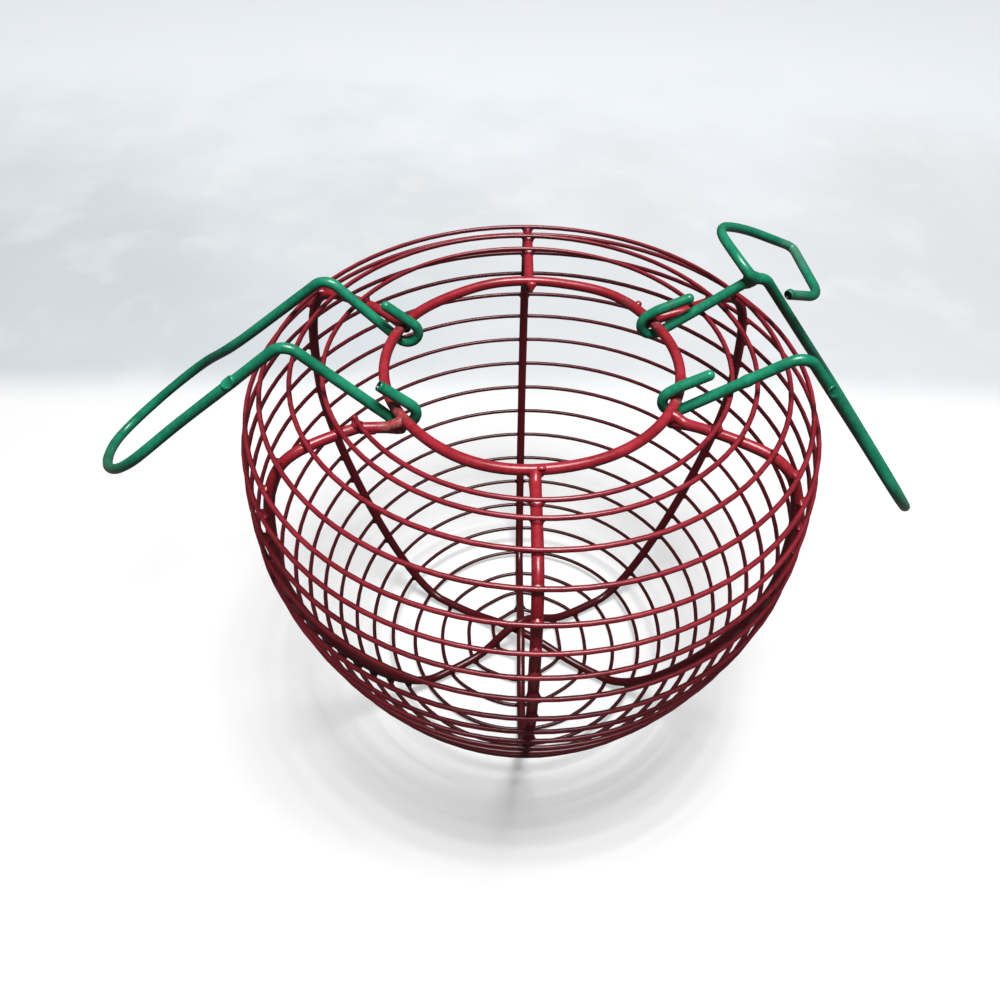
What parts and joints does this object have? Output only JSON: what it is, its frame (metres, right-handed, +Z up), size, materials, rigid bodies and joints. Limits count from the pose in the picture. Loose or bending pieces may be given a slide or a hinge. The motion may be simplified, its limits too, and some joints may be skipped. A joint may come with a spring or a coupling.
{
  "type": "wire basket",
  "caption": "Apple-shaped basket of plastic-coated wire, spiral-wound on bent ribs, with two hooked loop handles and a leaf-shaped loop.",
  "frame": {"origin": "on the surface the basket stands on, under the middle of the overall box", "axes": "+Z up out of the basket's mouth, +X towards the handle that carries the leaf loop, -Y towards the front"},
  "size_m": [0.3632, 0.2312, 0.2144],
  "materials": {
    "rim_ring": "dip-coated gloss over steel wire",
    "left_back_right_front_rib": "dip-coated gloss over steel wire",
    "front_back_rib": "dip-coated gloss over steel wire",
    "left_front_right_back_rib": "dip-coated gloss over steel wire",
    "spiral_wire": "dip-coated gloss over steel wire",
    "left_handle": "dip-coated gloss over steel wire",
    "right_handle": "dip-coated gloss over steel wire",
    "leaf_loop": "dip-coated gloss over steel wire"
  },
  "bodies": {
    "basket": {"rim_ring": "rim_ring", "left_back_right_front_rib": "left_back_right_front_rib", "front_back_rib": "front_back_rib", "left_front_right_back_rib": "left_front_right_back_rib", "spiral_wire": "spiral_wire"},
    "left_handle": {"left_handle": "left_handle"},
    "right_handle": {"right_handle": "right_handle", "leaf_loop": "leaf_loop"}
  },
  "joints": [
    {"name": "left_handle_hinge", "type": "hinge", "parent": "basket", "child": "left_handle", "pos_m": [-0.04451, -0.00249, 0.18624], "axis": [-0.0488, 0.9988, 0], "range_deg": [0, 128]},
    {"name": "right_handle_hinge", "type": "hinge", "parent": "basket", "child": "right_handle", "pos_m": [0.05748, 0.0033, 0.18624], "axis": [0.0645, -0.9979, 0], "range_deg": [0, 130]}
  ]
}
